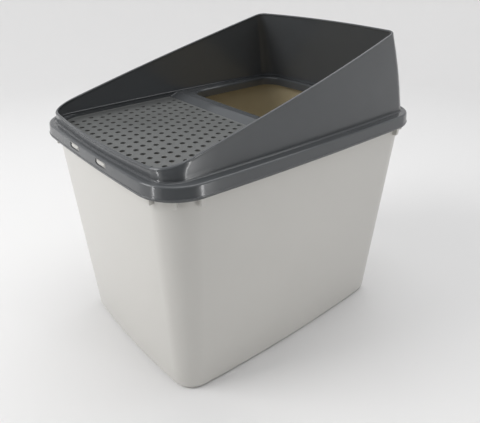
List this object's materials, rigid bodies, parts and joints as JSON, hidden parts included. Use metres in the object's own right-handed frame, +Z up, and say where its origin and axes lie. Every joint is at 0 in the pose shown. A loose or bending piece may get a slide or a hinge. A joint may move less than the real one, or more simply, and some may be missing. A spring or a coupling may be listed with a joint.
{
  "type": "top-entry cat litter box with hood",
  "caption": "Tall tapered litter tub with a tilting hood: perforated step in front, large top entry behind it, and a surround wall that rises to the back.",
  "frame": {"origin": "centre of the flat underside of the tub", "axes": "+Z up, +Y towards the high back wall, +X to the right seen from the front"},
  "size_m": [0.393, 0.5198, 0.4945],
  "materials": {
    "tub_plastic": "glossy moulded polypropylene, very light warm grey",
    "hood_plastic": "glossy moulded polypropylene, dark grey",
    "step_plastic": "satin moulded polypropylene, dark grey"
  },
  "bodies": {
    "tub": {"tub": "tub_plastic"},
    "hood": {"hood": "hood_plastic", "perforated_step": "step_plastic"}
  },
  "joints": [
    {"name": "hood_tilt", "type": "hinge", "parent": "tub", "child": "hood", "pos_m": [0, -0.2556, 0.3575], "axis": [1, 0, 0], "range_deg": [0, 25]}
  ]
}
